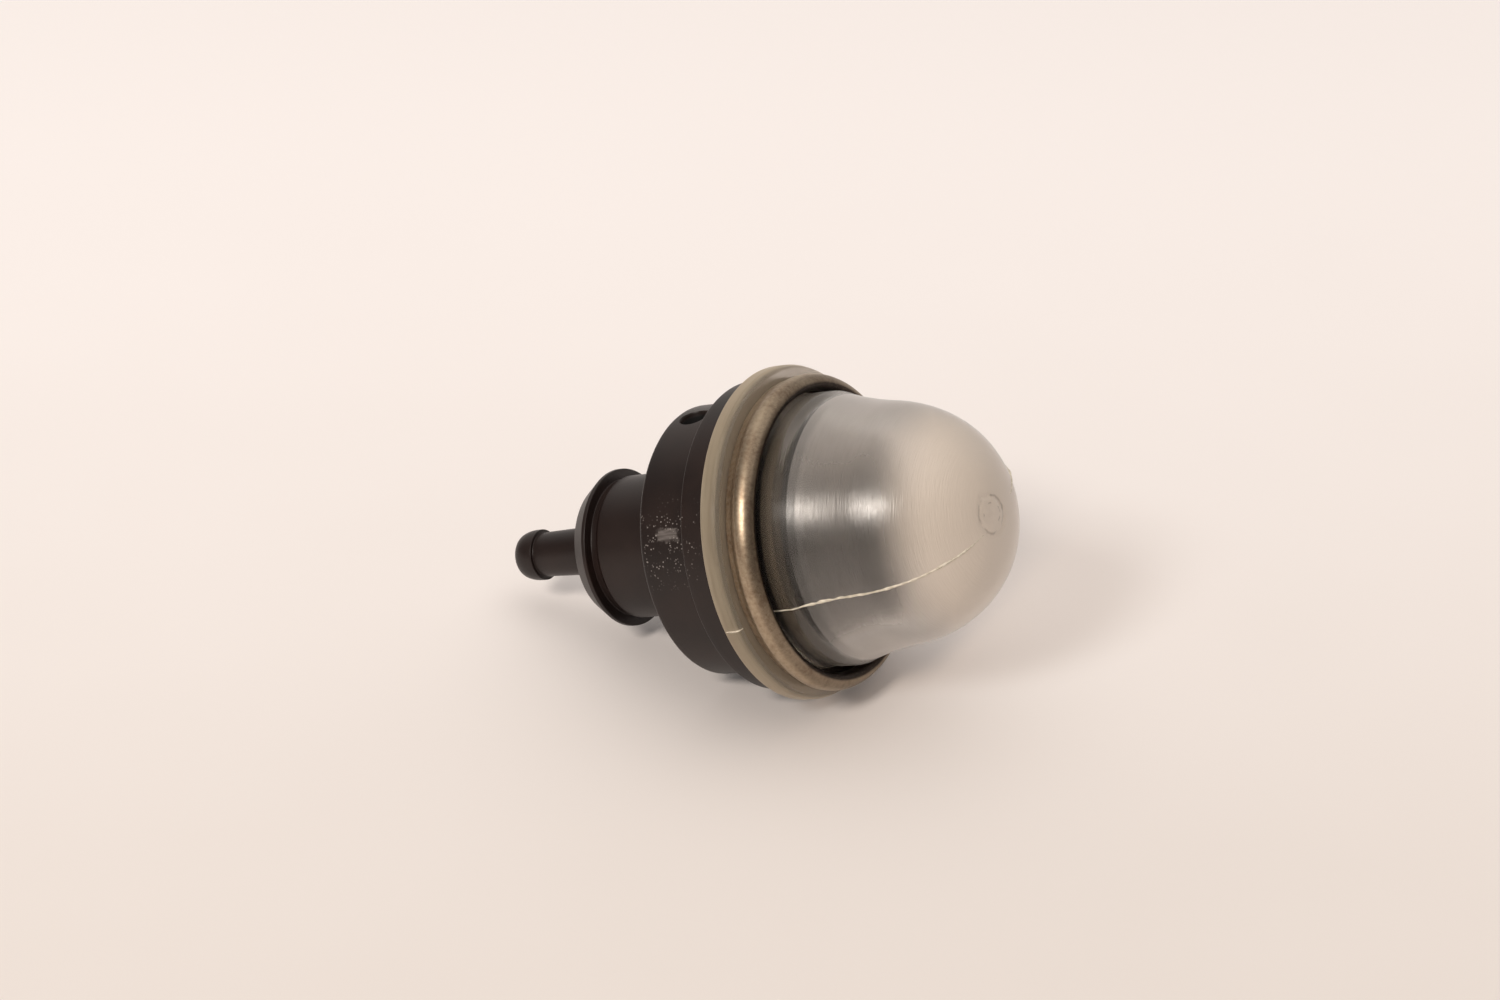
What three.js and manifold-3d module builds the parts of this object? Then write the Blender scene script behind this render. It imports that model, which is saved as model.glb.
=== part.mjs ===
// Primer bulb with a push-in neck: a translucent hand bulb on a black hose-barbed body.
// Millimetres, +Z up. The part lies as it comes to rest, on the rims of its flange and its shoulder,
// with the dome's end up and towards +X. Lengths along the part's own axis are measured from the back
// of the bulb's flange: positive towards the dome's tip and negative towards the barb.

import * as THREE from 'three';
import { mergeVertices } from 'three/addons/utils/BufferGeometryUtils.js';
import Module from 'manifold-3d';

const wasm = await Module();
wasm.setup();

// Facets and fits
const FACETS = 48;
const VALVE_FACETS = 32;
const HOLE_FACETS = 16;
const NOSE_STEPS = 11;
const INNER_NOSE_STEPS = 8;
const TAPER_STEPS = 5;
const BEAD_STEPS = 15;
const CROWN_STEPS = 6;
const EDGE_STEPS = 3;
const ROOT_STEPS = 2;
const SEAT_GAP = 0.3;
const CUT_MARGIN = 1;

// Bulb: dome, skirt and flange in one moulding
const FLANGE_R = 12.25;
const FLANGE_T = 1.4;
const FLANGE_EDGE_ROUND = 0.4;
const SKIRT_R = 10;
const SKIRT_TOP = 5;
const SKIRT_SHOULDER = 0.5;
const SKIRT_FILLET = 0.3;
const WAIST_Z = 9.4;
const NOSE_R = 8.98;
const NOSE_CENTRE_Z = 7.6;
const NOSE_FULLNESS = 2.2;
const DOME_TIP_Z = 17.56;
const BULB_WALL = 1.3;

// Retaining ring: a rolled bead on a thin foot
const RING_WIDTH = 1.2;
const RING_HEIGHT = 2.1;
const RING_CLEARANCE = 0.5;
const RING_FOOT_T = 0.35;
const RING_FOOT_REACH = 0.3;
const BEAD_FROM_DEG = -70;
const BEAD_TO_DEG = 235;

// Valve plate: disc with the rim that the bulb's skirt sits over
const PLATE_R = 11.35;
const PLATE_T = 2.03;
const PLATE_EDGE_ROUND = 0.15;
const PLATE_SPIGOT_HEIGHT = 0.8;
const PLATE_SPIGOT_WALL = 0.8;
const PLATE_RIM_WALL = 1.2;
const PLATE_RIM_HEIGHT = 5.5;
const INLET_COUNT = 6;
const INLET_D = 1.5;

// Check valve: umbrella, stem, bead and duckbill in one moulding
const UMBRELLA_R = 6;
const UMBRELLA_EDGE_T = 0.45;
const UMBRELLA_CROWN_T = 1.3;
const UMBRELLA_CROWN_R = 3.3;
const STEM_R = 1.5;
const STEM_BEAD_R = 2.1;
const STEM_BEAD_T = 0.9;
const STEM_BEAD_CHAMFER = 0.3;
const DUCKBILL_LENGTH = 2;
const DUCKBILL_TIP_T = 0.8;
const SLIT_LENGTH = 1.8;
const SLIT_WIDTH = 0.2;
const FUNNEL_TOP_R = 0.95;
const FUNNEL_END_R = 0.5;

// Pump body: shoulder stage, neck, snap lip and hose barb
const BODY_R = 9.97;
const SHOULDER_Z = -6.9;
const SHOULDER_ROUND = 0.3;
const SHOULDER_FILLET = 0.3;
const NECK_R = 5.33;
const LIP_FRONT_Z = -14.58;
const LIP_LENGTH = 1.64;
const LIP_R = 5.9;
const LIP_BACK_R = 4.91;
const LIP_LAND = 0.3;
const RELIEF_R = 5.1;
const RELIEF_LENGTH = 0.5;
const BARB_ROOT_R = 1.87;
const BARB_ROOT_FILLET = 0.3;
const BARB_TUBE_R = 1.67;
const BARB_HEAD_R = 1.92;
const BARB_TIP_R = 1.2;
const BARB_HEAD_LENGTH = 1.87;
const BARB_HEAD_LAND = 0.35;
const BARB_TIP_Z = -24.3;
const BORE_R = 0.9;
const SOCKET_R = 2.5;
const SOCKET_DEPTH = 3.6;
const BOSS_WALL = 1.1;
const GALLERY_R = 7.6;
const BACK_WALL = 0.8;
const PORT_D = 2.2;
const PORT_ROLL = THREE.MathUtils.degToRad(2.8);

// Places that follow from the sizes above
const PLATE_FRONT_Z = -SEAT_GAP;
const PLATE_BACK_Z = PLATE_FRONT_Z - PLATE_T;
const BODY_FRONT_Z = PLATE_BACK_Z - SEAT_GAP;
const GALLERY_FLOOR_Z = SHOULDER_Z + BACK_WALL;
const BOSS_R = SOCKET_R + BOSS_WALL;
const SKIRT_BORE_R = SKIRT_R - BULB_WALL;
const RING_BEAD_R = SKIRT_R + RING_CLEARANCE + RING_WIDTH / 2;
const RIM_R = SKIRT_BORE_R - SEAT_GAP;
const INLET_CIRCLE_R = BOSS_R + SEAT_GAP + INLET_D / 2;
const STEM_HOLE_R = STEM_R + SEAT_GAP;
const LIP_BACK_Z = LIP_FRONT_Z - LIP_LENGTH;
const BARB_SHOULDER_Z = BARB_TIP_Z + BARB_HEAD_LENGTH;

const plastic = (name, color, roughness) => (
  new THREE.MeshStandardMaterial({ name, color, roughness, metalness: 0 })
);
const BLACK_PLASTIC = plastic('black_plastic', 0x3a302d, 0.42);
const BLACK_RUBBER = plastic('black_rubber', 0x26221f, 0.75);
const RING_METAL = new THREE.MeshStandardMaterial({
  name: 'ring_metal', color: 0xa8927a, roughness: 0.3, metalness: 1,
});
const CLEAR_PLASTIC = new THREE.MeshStandardMaterial({
  name: 'clear_plastic', color: 0xc9beaa, roughness: 0.3, metalness: 0, transparent: true, opacity: 0.6,
});

// A point of an outline: radius from the part's axis, then place along it.
const at = (radius, along) => new THREE.Vector2(radius, along);

// Points of an arc about a centre, from one angle to the other, in degrees.
function round(centreR, centreZ, radiusR, radiusZ, fromDeg, toDeg, steps) {
  const points = [];
  for (let i = 0; i <= steps; i += 1) {
    const angle = THREE.MathUtils.degToRad(fromDeg + ((toDeg - fromDeg) * i) / steps);
    points.push(at(centreR + radiusR * Math.cos(angle), centreZ + radiusZ * Math.sin(angle)));
  }
  return points;
}

// Keeps only positions, with shared corners merged and the flat triangles at the axis dropped.
function closed(geometry) {
  const bare = geometry.clone();
  bare.deleteAttribute('normal');
  bare.deleteAttribute('uv');
  const merged = mergeVertices(bare);
  const corners = merged.getIndex().array;
  const kept = [];
  for (let i = 0; i < corners.length; i += 3) {
    const [a, b, c] = [corners[i], corners[i + 1], corners[i + 2]];
    if (a !== b && b !== c && c !== a) {
      kept.push(a, b, c);
    }
  }
  merged.setIndex(kept);
  return merged;
}

function toSolid(geometry) {
  const shape = closed(geometry);
  return new wasm.Manifold(new wasm.Mesh({
    numProp: 3,
    vertProperties: new Float32Array(shape.getAttribute('position').array),
    triVerts: new Uint32Array(shape.getIndex().array),
  }));
}

function toGeometry(solid) {
  const mesh = solid.getMesh();
  const geometry = new THREE.BufferGeometry();
  geometry.setAttribute('position', new THREE.BufferAttribute(mesh.vertProperties, 3));
  geometry.setIndex(new THREE.BufferAttribute(mesh.triVerts, 1));
  geometry.computeVertexNormals();
  return geometry;
}

// Turns an outline about the part's axis, with a flat and not a corner at the underside. The outline
// runs up the outside and starts and ends on the axis, or closes on itself.
function turned(outline, facets = FACETS) {
  return new THREE.LatheGeometry(outline, facets, Math.PI / facets, 2 * Math.PI);
}

function turnedRing(outline, facets = FACETS) {
  return turned([...outline, outline[0]], facets);
}

// A pin along the part's axis, between two places on it, for cutting holes.
function axialPin(radius, fromZ, toZ, atX, atZ) {
  const pin = new THREE.CylinderGeometry(radius, radius, toZ - fromZ, HOLE_FACETS);
  pin.translate(atX, (fromZ + toZ) / 2, atZ);
  return pin;
}

// One wall line of the bulb: up the skirt, in to the waist and round the nose to the axis. The nose is a
// superellipse, a little fuller than an ellipse, and the taper below it runs into it without a corner.
function bulbWall(skirtR, noseR, noseLength, steps) {
  const power = 2 / NOSE_FULLNESS;
  const waistAngle = Math.asin(((WAIST_Z - NOSE_CENTRE_Z) / noseLength) ** (1 / power));
  const nose = [];
  for (let i = 0; i < steps; i += 1) {
    const angle = THREE.MathUtils.lerp(waistAngle, Math.PI / 2, i / steps);
    nose.push(at(noseR * Math.cos(angle) ** power, NOSE_CENTRE_Z + noseLength * Math.sin(angle) ** power));
  }
  nose.push(at(0, NOSE_CENTRE_Z + noseLength));
  const [waist] = nose;
  const reach = (waist.y - SKIRT_TOP) / 3;
  const waistSlope = (noseR / noseLength) * ((waist.y - NOSE_CENTRE_Z) / noseLength) ** (NOSE_FULLNESS - 1);
  const taper = new THREE.CubicBezierCurve(
    at(skirtR, SKIRT_TOP),
    at(skirtR, SKIRT_TOP + SKIRT_SHOULDER),
    at(waist.x + waistSlope * reach, waist.y - reach),
    waist,
  );
  return [...taper.getPoints(TAPER_STEPS), ...nose.slice(1)];
}

function makeBulb() {
  const flangeEdge = round(
    FLANGE_R - FLANGE_EDGE_ROUND, FLANGE_T - FLANGE_EDGE_ROUND,
    FLANGE_EDGE_ROUND, FLANGE_EDGE_ROUND, 0, 90, EDGE_STEPS,
  );
  const skirtRoot = round(
    SKIRT_R + SKIRT_FILLET, FLANGE_T + SKIRT_FILLET, SKIRT_FILLET, SKIRT_FILLET, 270, 180, ROOT_STEPS,
  );
  const noseLength = DOME_TIP_Z - NOSE_CENTRE_Z;
  const outside = bulbWall(SKIRT_R, NOSE_R, noseLength, NOSE_STEPS);
  const inside = bulbWall(SKIRT_BORE_R, NOSE_R - BULB_WALL, noseLength - BULB_WALL, INNER_NOSE_STEPS);
  const hollow = [at(0, -CUT_MARGIN), at(SKIRT_BORE_R, -CUT_MARGIN), ...inside];
  const shell = [at(0, 0), at(FLANGE_R, 0), ...flangeEdge, ...skirtRoot, ...outside];
  return toGeometry(toSolid(turned(shell)).subtract(toSolid(turned(hollow))));
}

function makeRetainingRing() {
  const footBack = FLANGE_T + SEAT_GAP;
  const footInner = SKIRT_R + SEAT_GAP;
  const footOuter = RING_BEAD_R + RING_FOOT_REACH;
  const footTop = footBack + RING_FOOT_T;
  const bead = round(RING_BEAD_R, footBack + (RING_HEIGHT + RING_FOOT_T) / 2,
    RING_WIDTH / 2, RING_HEIGHT / 2, BEAD_FROM_DEG, BEAD_TO_DEG, BEAD_STEPS);
  return turnedRing([at(footInner, footBack), at(footOuter, footBack), ...bead, at(footInner, footTop)]);
}

function makeValvePlate() {
  const rimTop = PLATE_FRONT_Z + PLATE_RIM_HEIGHT;
  const rimInner = RIM_R - PLATE_RIM_WALL;
  const spigotR = GALLERY_R - SEAT_GAP;
  const spigotBack = PLATE_BACK_Z - PLATE_SPIGOT_HEIGHT;
  const edge = PLATE_EDGE_ROUND;
  const rimCrown = round((RIM_R + rimInner) / 2, rimTop - PLATE_RIM_WALL / 2,
    PLATE_RIM_WALL / 2, PLATE_RIM_WALL / 2, 0, 180, CROWN_STEPS);
  const section = [
    at(STEM_HOLE_R, PLATE_BACK_Z),
    at(spigotR - PLATE_SPIGOT_WALL, PLATE_BACK_Z),
    at(spigotR - PLATE_SPIGOT_WALL, spigotBack),
    at(spigotR, spigotBack),
    at(spigotR, PLATE_BACK_Z),
    at(PLATE_R - edge, PLATE_BACK_Z),
    at(PLATE_R, PLATE_BACK_Z + edge),
    at(PLATE_R, PLATE_FRONT_Z - edge),
    at(PLATE_R - edge, PLATE_FRONT_Z),
    at(RIM_R, PLATE_FRONT_Z),
    ...rimCrown,
    at(rimInner, PLATE_FRONT_Z),
    at(STEM_HOLE_R, PLATE_FRONT_Z),
  ];
  let plate = toSolid(turnedRing(section));
  for (let i = 0; i < INLET_COUNT; i += 1) {
    const angle = (2 * Math.PI * i) / INLET_COUNT;
    const pin = axialPin(INLET_D / 2, PLATE_BACK_Z - CUT_MARGIN, PLATE_FRONT_Z + CUT_MARGIN,
      INLET_CIRCLE_R * Math.sin(angle), INLET_CIRCLE_R * Math.cos(angle));
    plate = plate.subtract(toSolid(pin));
  }
  return toGeometry(plate);
}

function makeCheckValve() {
  const seat = PLATE_FRONT_Z + SEAT_GAP;
  const beadTop = PLATE_BACK_Z - SEAT_GAP;
  const beadEnd = beadTop - STEM_BEAD_T;
  const billEnd = beadEnd - DUCKBILL_LENGTH;
  const crown = new THREE.QuadraticBezierCurve(
    at(UMBRELLA_R, seat + UMBRELLA_EDGE_T),
    at(UMBRELLA_CROWN_R, seat + UMBRELLA_CROWN_T),
    at(STEM_R, seat + UMBRELLA_CROWN_T),
  );
  const form = toSolid(turned([
    at(0, billEnd),
    at(STEM_R, billEnd),
    at(STEM_R, beadEnd),
    at(STEM_BEAD_R, beadEnd + STEM_BEAD_CHAMFER),
    at(STEM_BEAD_R, beadTop),
    at(STEM_R, beadTop),
    at(STEM_R, seat),
    at(UMBRELLA_R, seat),
    ...crown.getPoints(CROWN_STEPS),
    at(0, seat + UMBRELLA_CROWN_T),
  ], VALVE_FACETS));

  // The two lips close like a wedge towards their slit.
  const cheek = new THREE.Shape([
    at(DUCKBILL_TIP_T / 2, billEnd),
    at(STEM_BEAD_R, beadEnd),
    at(STEM_BEAD_R, billEnd - CUT_MARGIN),
    at(DUCKBILL_TIP_T / 2, billEnd - CUT_MARGIN),
  ]);
  const depth = 2 * (STEM_BEAD_R + CUT_MARGIN);
  const side = new THREE.ExtrudeGeometry(cheek, { depth, bevelEnabled: false });
  side.translate(0, 0, -depth / 2);
  const otherSide = side.clone().rotateY(Math.PI);

  const funnelEnd = beadEnd - DUCKBILL_LENGTH / 2;
  const funnel = turned([
    at(0, funnelEnd),
    at(FUNNEL_END_R, funnelEnd),
    at(FUNNEL_TOP_R, seat + UMBRELLA_CROWN_T),
    at(FUNNEL_TOP_R, seat + UMBRELLA_CROWN_T + CUT_MARGIN),
    at(0, seat + UMBRELLA_CROWN_T + CUT_MARGIN),
  ], HOLE_FACETS);
  const slitTop = funnelEnd + FUNNEL_END_R;
  const slitEnd = billEnd - CUT_MARGIN;
  const slit = new THREE.BoxGeometry(SLIT_WIDTH, slitTop - slitEnd, SLIT_LENGTH);
  slit.translate(0, (slitTop + slitEnd) / 2, 0);
  return toGeometry([side, otherSide, funnel, slit].reduce((valve, cut) => valve.subtract(toSolid(cut)), form));
}

// The outside of the pump body, from the barb's tip to the face that carries the valve plate.
function bodyOutside() {
  const headNose = round(
    BARB_TIP_R, BARB_SHOULDER_Z - BARB_HEAD_LAND,
    BARB_HEAD_R - BARB_TIP_R, BARB_HEAD_LENGTH - BARB_HEAD_LAND, -90, 0, CROWN_STEPS,
  );
  const barbRoot = round(
    BARB_ROOT_R + BARB_ROOT_FILLET, LIP_BACK_Z - BARB_ROOT_FILLET,
    BARB_ROOT_FILLET, BARB_ROOT_FILLET, 180, 90, ROOT_STEPS,
  );
  const shoulderRoot = round(
    NECK_R + SHOULDER_FILLET, SHOULDER_Z - SHOULDER_FILLET,
    SHOULDER_FILLET, SHOULDER_FILLET, 180, 90, ROOT_STEPS,
  );
  const shoulderEdge = round(
    BODY_R - SHOULDER_ROUND, SHOULDER_Z + SHOULDER_ROUND,
    SHOULDER_ROUND, SHOULDER_ROUND, -90, 0, EDGE_STEPS,
  );
  return [
    ...headNose,
    at(BARB_HEAD_R, BARB_SHOULDER_Z),
    at(BARB_TUBE_R, BARB_SHOULDER_Z),
    ...barbRoot,
    at(LIP_BACK_R, LIP_BACK_Z),
    at(LIP_R, LIP_FRONT_Z - LIP_LAND),
    at(LIP_R, LIP_FRONT_Z),
    at(RELIEF_R, LIP_FRONT_Z),
    at(RELIEF_R, LIP_FRONT_Z + RELIEF_LENGTH),
    at(NECK_R, LIP_FRONT_Z + RELIEF_LENGTH + (NECK_R - RELIEF_R)),
    ...shoulderRoot,
    ...shoulderEdge,
    at(BODY_R, BODY_FRONT_Z),
  ];
}

function makePumpBody() {
  const socketFloor = BODY_FRONT_Z - SOCKET_DEPTH;
  const section = [
    ...bodyOutside(),
    at(GALLERY_R, BODY_FRONT_Z),
    at(GALLERY_R, GALLERY_FLOOR_Z),
    at(BOSS_R, GALLERY_FLOOR_Z),
    at(BOSS_R, BODY_FRONT_Z),
    at(SOCKET_R, BODY_FRONT_Z),
    at(SOCKET_R, socketFloor),
    at(BORE_R, socketFloor - (SOCKET_R - BORE_R)),
    at(BORE_R, BARB_TIP_Z),
  ];
  const portOuter = BODY_R + CUT_MARGIN;
  const portInner = (BOSS_R + GALLERY_R) / 2;
  const port = new THREE.CylinderGeometry(PORT_D / 2, PORT_D / 2, portOuter - portInner, HOLE_FACETS);
  port.rotateX(Math.PI / 2);
  port.translate(0, GALLERY_FLOOR_Z + PORT_D / 2, (portOuter + portInner) / 2);
  port.rotateY(PORT_ROLL);
  return toGeometry(toSolid(turnedRing(section)).subtract(toSolid(port)));
}

// The slope at which the part rests: it tips back about its flange's rim until its outline behind the
// flange, which is the plate's edge and the body's outside, meets the surface.
function restTilt() {
  const plateEdge = at(PLATE_R, PLATE_BACK_Z + PLATE_EDGE_ROUND);
  const slopes = [plateEdge, ...bodyOutside()].map((point) => (FLANGE_R - point.x) / -point.y);
  return Math.atan(Math.min(...slopes) * Math.cos(Math.PI / FACETS));
}

const subParts = [
  ['pump_body', makePumpBody(), BLACK_PLASTIC],
  ['valve_plate', makeValvePlate(), BLACK_PLASTIC],
  ['check_valve', makeCheckValve(), BLACK_RUBBER],
  ['bulb', makeBulb(), CLEAR_PLASTIC],
  ['retaining_ring', makeRetainingRing(), RING_METAL],
];

const lying = new THREE.Group();
for (const [name, geometry, material] of subParts) {
  const mesh = new THREE.Mesh(geometry, material);
  mesh.name = name;
  lying.add(mesh);
}
const tilt = restTilt();
const axis = new THREE.Vector3(Math.cos(tilt), 0, Math.sin(tilt));
const upward = new THREE.Vector3(-Math.sin(tilt), 0, Math.cos(tilt));
const sideward = new THREE.Vector3(0, -1, 0);
lying.applyMatrix4(new THREE.Matrix4().makeBasis(sideward, axis, upward));

const primerBulb = new THREE.Group();
primerBulb.name = 'primer_bulb';
primerBulb.add(lying);
const box = new THREE.Box3().setFromObject(primerBulb, true);
lying.position.set(-(box.min.x + box.max.x) / 2, -(box.min.y + box.max.y) / 2, -box.min.z);

export default primerBulb;
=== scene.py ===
"""A primer bulb lying on a pale table: its turned pieces, their finishes, the light and the camera."""

from __future__ import annotations

import logging
import math
from dataclasses import dataclass
from enum import Enum
from typing import Callable, Sequence, Union

import bmesh
import bpy
from mathutils import Matrix, Vector, noise

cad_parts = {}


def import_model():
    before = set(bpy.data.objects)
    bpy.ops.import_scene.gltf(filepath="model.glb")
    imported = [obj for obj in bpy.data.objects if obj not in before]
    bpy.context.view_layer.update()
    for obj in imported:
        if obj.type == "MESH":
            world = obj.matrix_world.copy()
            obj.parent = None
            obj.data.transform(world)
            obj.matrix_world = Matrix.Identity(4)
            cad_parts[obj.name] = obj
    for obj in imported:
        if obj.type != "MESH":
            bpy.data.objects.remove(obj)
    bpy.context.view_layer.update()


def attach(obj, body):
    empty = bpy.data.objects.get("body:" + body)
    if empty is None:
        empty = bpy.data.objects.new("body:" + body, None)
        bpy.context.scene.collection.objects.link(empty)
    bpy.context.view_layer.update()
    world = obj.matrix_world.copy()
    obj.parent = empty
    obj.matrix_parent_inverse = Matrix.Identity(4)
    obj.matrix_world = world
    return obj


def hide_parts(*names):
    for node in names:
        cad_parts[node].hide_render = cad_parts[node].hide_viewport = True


LOG = logging.getLogger("primer_bulb")
MM = 0.001

Colour = tuple[float, float, float, float]
Outline = list[tuple[float, float]]


class Slot(Enum):
    """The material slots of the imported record."""

    BLACK_PLASTIC = "black_plastic"
    BLACK_RUBBER = "black_rubber"
    CLEAR_PLASTIC = "clear_plastic"
    RING_METAL = "ring_metal"


def srgb(red: int, green: int, blue: int) -> Colour:
    """Turns a colour as a screen shows it into the linear one that a shader takes.

    Args:
        red: Red, from 0 to 255.
        green: Green, from 0 to 255.
        blue: Blue, from 0 to 255.

    Returns:
        The linear colour with an alpha of 1.
    """
    def linear(value: int) -> float:
        """Undoes the screen's curve for one channel."""
        part = value / 255
        return part / 12.92 if part <= 0.04045 else ((part + 0.055) / 1.055) ** 2.4

    return (linear(red), linear(green), linear(blue), 1.0)


class Num:
    """A number on a node's output. Arithmetic on it adds Math nodes."""

    def __init__(self, book: NodeBook, socket: bpy.types.NodeSocket) -> None:
        """Keeps the tree's book and the output that carries the number."""
        self.book = book
        self.socket = socket

    def _math(self, operation: str, first: Value, second: Value = 0.0) -> Num:
        """Adds one Math node and returns its result."""
        return self.book.number("ShaderNodeMath", {"operation": operation}, {0: first, 1: second})

    def __add__(self, other: Value) -> Num:
        """Adds."""
        return self._math("ADD", self, other)

    def __radd__(self, other: Value) -> Num:
        """Adds from the right."""
        return self._math("ADD", other, self)

    def __sub__(self, other: Value) -> Num:
        """Subtracts."""
        return self._math("SUBTRACT", self, other)

    def __rsub__(self, other: Value) -> Num:
        """Subtracts this from a plain number."""
        return self._math("SUBTRACT", other, self)

    def __mul__(self, other: Value) -> Num:
        """Multiplies."""
        return self._math("MULTIPLY", self, other)

    def __rmul__(self, other: Value) -> Num:
        """Multiplies from the right."""
        return self._math("MULTIPLY", other, self)

    def __truediv__(self, other: Value) -> Num:
        """Divides."""
        return self._math("DIVIDE", self, other)

    def __pow__(self, other: Value) -> Num:
        """Raises to a power."""
        return self._math("POWER", self, other)

    def size(self) -> Num:
        """Drops the sign."""
        return self._math("ABSOLUTE", self)

    def least(self, other: Value) -> Num:
        """Takes the smaller one."""
        return self._math("MINIMUM", self, other)

    def fade(self, low: float, high: float) -> Num:
        """Eases from 0 to 1.

        Args:
            low: Where the result starts to leave 0.
            high: Where the result reaches 1.

        Returns:
            The eased number, which stays within 0 and 1.
        """
        return self.book.number(
            "ShaderNodeMapRange",
            {"interpolation_type": "SMOOTHSTEP"},
            {"Value": self, "From Min": low, "From Max": high},
        )

    def near(self, middle: float, half: float, soft: float) -> Num:
        """Marks a band about a value.

        Args:
            middle: The band's middle.
            half: Half of its width.
            soft: The width over which each side fades.

        Returns:
            1 inside the band and 0 outside.
        """
        return 1 - (self - middle).size().fade(half - soft / 2, half + soft / 2)


Value = Union[Num, bpy.types.NodeSocket, float, Sequence[float]]


class NodeBook:
    """One node tree, with short ways to add nodes and to read numbers from them."""

    def __init__(self, tree: bpy.types.NodeTree) -> None:
        """Empties the tree and keeps it."""
        self.tree = tree
        tree.nodes.clear()

    def node(self, kind: str, settings: dict[str, object], sockets: dict[str | int, Value]) -> bpy.types.Node:
        """Adds a node.

        Args:
            kind: The node's type.
            settings: Its settings by name, set first; "stops" takes a ramp's places and colours.
            sockets: The value or the link of each input, by name or place.

        Returns:
            The new node.
        """
        made = self.tree.nodes.new(kind)
        for name, value in settings.items():
            if name == "stops":
                self._set_stops(made.color_ramp, value)
            else:
                setattr(made, name, value)
        for name, value in sockets.items():
            if isinstance(value, Num):
                self.tree.links.new(value.socket, made.inputs[name])
            elif isinstance(value, bpy.types.NodeSocket):
                self.tree.links.new(value, made.inputs[name])
            else:
                made.inputs[name].default_value = value
        return made

    @staticmethod
    def _set_stops(ramp: bpy.types.ColorRamp, stops: Sequence[tuple[float, Colour]]) -> None:
        """Gives a ramp its places and colours."""
        while len(ramp.elements) < len(stops):
            ramp.elements.new(1.0)
        for element, (place, colour) in zip(ramp.elements, stops):
            element.position = place
            element.color = colour

    def number(self, kind: str, settings: dict[str, object], sockets: dict[str | int, Value]) -> Num:
        """Adds a node and returns its first output as a number."""
        return Num(self, self.node(kind, settings, sockets).outputs[0])

    def place(self) -> bpy.types.NodeSocket:
        """Gives the place in metres along the part's own axes."""
        lying = PartAxis().matrix()
        spot = self.node("ShaderNodeTexCoord", {}, {}).outputs["Object"]
        sockets = {"Vector": spot, "Location": lying.translation, "Rotation": lying.to_euler()}
        return self.node("ShaderNodeMapping", {"vector_type": "TEXTURE"}, sockets).outputs[0]

    def parts(self, vector: bpy.types.NodeSocket) -> tuple[Num, Num, Num]:
        """Splits a vector into its three numbers."""
        split = self.node("ShaderNodeSeparateXYZ", {}, {0: vector})
        return Num(self, split.outputs[0]), Num(self, split.outputs[1]), Num(self, split.outputs[2])

    def cloud(self, place: Value, size_mm: float, detail: float = 2.0, rough: float = 0.5) -> Num:
        """Soft noise.

        Args:
            place: The place to read it at, in metres.
            size_mm: The rough size of its blotches.
            detail: How many finer layers it has.
            rough: How strong the finer layers are.

        Returns:
            A number from 0 to 1 that is mostly near 0.5.
        """
        return self.number(
            "ShaderNodeTexNoise", {},
            {"Vector": place, "Scale": 1 / (size_mm * MM), "Detail": detail, "Roughness": rough},
        )

    def specks(self, place: Value, spacing_mm: float, share: float) -> Num:
        """Small round specks.

        Args:
            place: The place to read them at, in metres.
            spacing_mm: The rough distance from speck to speck.
            share: A speck's radius as a share of that distance.

        Returns:
            1 on a speck and 0 off it.
        """
        reach = self.number("ShaderNodeTexVoronoi", {}, {"Vector": place, "Scale": 1 / (spacing_mm * MM)})
        return 1 - reach.fade(share * 0.5, share)

    def stretched(self, place: Value, scale: tuple[float, float, float]) -> bpy.types.NodeSocket:
        """Scales a place along each axis, so that a pattern read there turns into streaks."""
        settings = {"operation": "MULTIPLY"}
        return self.node("ShaderNodeVectorMath", settings, {0: place, 1: scale}).outputs[0]

    def grazing(self) -> Num:
        """Gives 0 where a surface faces the eye and 1 where it turns away."""
        return Num(self, self.node("ShaderNodeLayerWeight", {}, {"Blend": 0.5}).outputs["Facing"])

    def tint(self, share: Value, first: Value, second: Value) -> bpy.types.NodeSocket:
        """Mixes two colours; a share of 1 gives the second."""
        return self.node("ShaderNodeMix", {"data_type": "RGBA"}, {0: share, 6: first, 7: second}).outputs[2]

    def bump(self, height: Value, depth_mm: float, strength: float) -> bpy.types.NodeSocket:
        """Turns a height into a normal."""
        sockets = {"Height": height, "Distance": depth_mm * MM, "Strength": strength}
        return self.node("ShaderNodeBump", {}, sockets).outputs[0]

    def surface(self, sockets: dict[str | int, Value]) -> bpy.types.NodeSocket:
        """Adds the main surface shader with these inputs."""
        return self.node("ShaderNodeBsdfPrincipled", {}, sockets).outputs[0]

    def blend(self, share: Value, first: Value, second: Value) -> bpy.types.NodeSocket:
        """Mixes two shaders; a share of 1 gives the second."""
        return self.node("ShaderNodeMixShader", {}, {0: share, 1: first, 2: second}).outputs[0]


def new_material(name: str, shade: Callable[[NodeBook], bpy.types.NodeSocket]) -> bpy.types.Material:
    """Makes a material from a method that builds its shader.

    Args:
        name: The material's name.
        shade: Adds the nodes and returns the shader's output.

    Returns:
        The new material.
    """
    material = bpy.data.materials.new(name)
    material.use_nodes = True
    book = NodeBook(material.node_tree)
    shader = shade(book)
    book.node("ShaderNodeOutputMaterial", {}, {"Surface": shader})
    return material


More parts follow.
